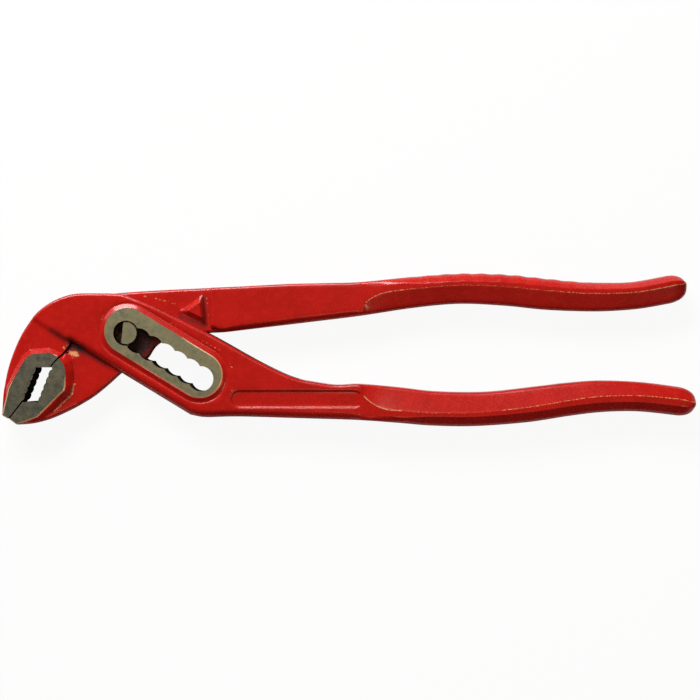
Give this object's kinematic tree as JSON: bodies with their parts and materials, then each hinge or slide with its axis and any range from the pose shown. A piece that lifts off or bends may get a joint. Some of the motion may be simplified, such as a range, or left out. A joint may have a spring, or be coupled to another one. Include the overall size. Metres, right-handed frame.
{
  "type": "water pump pliers",
  "caption": "Adjustable box joint water pump pliers, red enamelled forged steel, with angled jaws, a toothed slot for the bolt and long curved handles.",
  "frame": {"origin": "on the bolt's axis, at the bolt's ground end on the underside, with the bolt in the first pocket and the jaws closed", "axes": "+X runs from the bolt along the handles to their ends, +Y points from the lower handle to the upper handle, +Z is the bolt's axis and points up from the flat tool"},
  "size_m": [0.2525, 0.0557, 0.0105],
  "materials": {
    "red_enamel_slotted_half": "glossy red enamel on forged steel, with bare ground faces on the jaw and round the slot",
    "red_enamel_inner_half": "glossy red enamel on forged steel, with a bare ground face on the jaw",
    "ground_steel_bolt": "ground steel"
  },
  "bodies": {
    "slotted_half": {"slotted_half": "red_enamel_slotted_half"},
    "pivot_bolt": {"pivot_bolt": "ground_steel_bolt"},
    "inner_half": {"inner_half": "red_enamel_inner_half"}
  },
  "joints": [
    {"name": "jaw_width_slide", "type": "slide", "parent": "slotted_half", "child": "pivot_bolt", "axis": [0.8545, -0.5195, 0], "range_m": [0, 0.0318]},
    {"name": "jaw_opening_hinge", "type": "hinge", "parent": "pivot_bolt", "child": "inner_half", "pos_m": [0, 0, 0], "axis": [0, 0, 1], "range_deg": [0, 66]}
  ]
}
